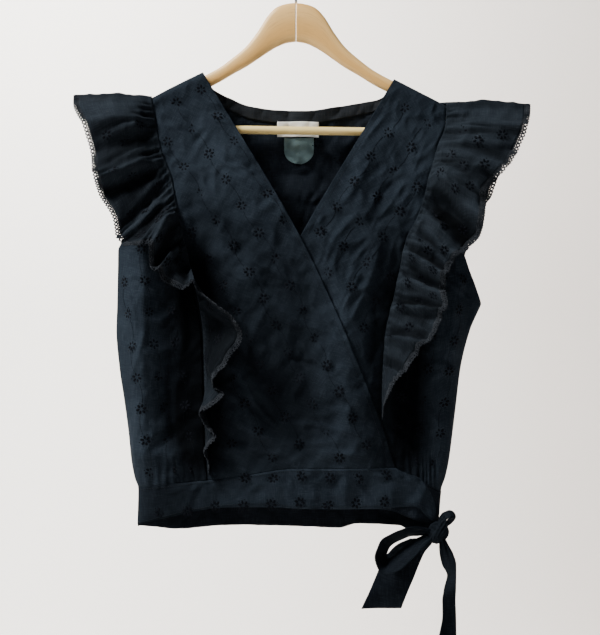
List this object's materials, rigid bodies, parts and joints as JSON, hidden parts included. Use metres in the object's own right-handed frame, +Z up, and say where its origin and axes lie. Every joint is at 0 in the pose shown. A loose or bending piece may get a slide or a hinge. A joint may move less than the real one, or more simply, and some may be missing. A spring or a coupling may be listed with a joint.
{
  "type": "ruffle crop top on a wooden hanger",
  "caption": "Sleeveless wrap crop top with ruffled shoulders, lace edging, a fitted waistband and a tie at the hip, hanging on a wooden hanger.",
  "frame": {"origin": "inside top of the hanger's hook, where a rail carries it", "axes": "+Z up, -Y out of the garment's front, +X to the right as seen from the front"},
  "size_m": [0.5691, 0.1331, 0.8714],
  "materials": {
    "cloth": "matte",
    "lace": "matte",
    "label_white": "matte",
    "label_teal": "matte",
    "wood": "satin",
    "steel": "polished"
  },
  "bodies": {
    "root": {"front_over": "cloth", "front_under": "cloth", "side_front_left": "cloth", "side_front_right": "cloth", "back": "cloth", "neck_facing": "cloth", "waistband_over": "cloth", "waistband_under": "cloth", "waistband_back": "cloth", "ruffle_left": "cloth", "ruffle_right": "cloth", "tie_knot": "cloth", "tie_left_loop": "cloth", "tie_right_loop": "cloth", "tie_left_tail": "cloth", "tie_right_tail": "cloth", "lace_left": "lace", "lace_right": "lace", "label_white": "label_white", "label_rounded": "label_teal", "hanger_left": "wood", "hanger_right": "wood", "hanger_bar": "wood", "hanger_hook": "steel"}
  },
  "joints": []
}
